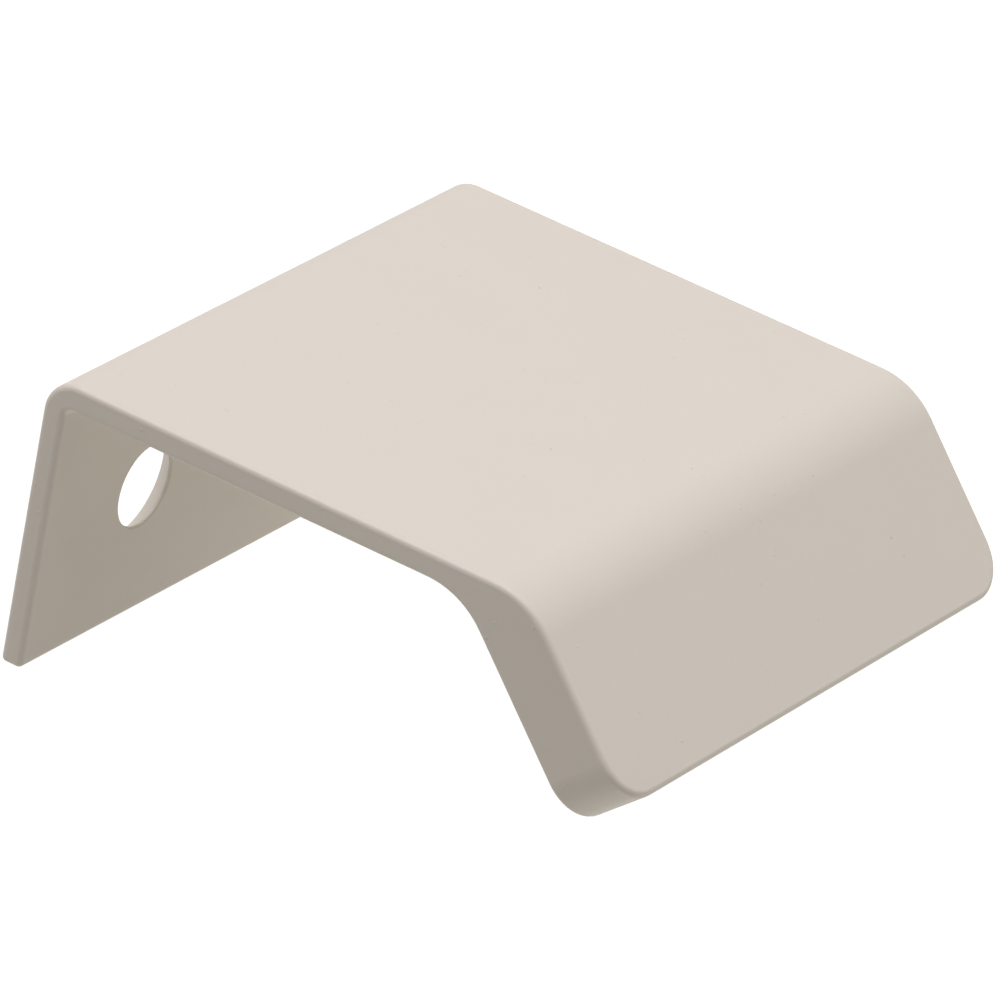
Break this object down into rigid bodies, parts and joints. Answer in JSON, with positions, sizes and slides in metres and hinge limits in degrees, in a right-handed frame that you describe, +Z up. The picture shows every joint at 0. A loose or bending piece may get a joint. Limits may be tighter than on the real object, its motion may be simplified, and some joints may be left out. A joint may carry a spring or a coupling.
{
  "type": "profile handle",
  "caption": "Short profile handle for a cabinet or drawer front: a screwed back flange, a thin plate over the front's top edge and a thick slanted finger lip, powder-coated.",
  "frame": {"origin": "midway between the two screw holes, on the flange face that lies against the back of the cabinet front", "axes": "+X along the handle, +Y from the cabinet front out through the flange's back along the screw holes, -Y towards the finger lip, +Z up"},
  "size_m": [0.04, 0.0403, 0.0181],
  "materials": {
    "powder_coat": "warm light beige powder coat, matt, with a fine orange-peel texture"
  },
  "bodies": {
    "root": {"profile_handle": "powder_coat"}
  },
  "joints": []
}
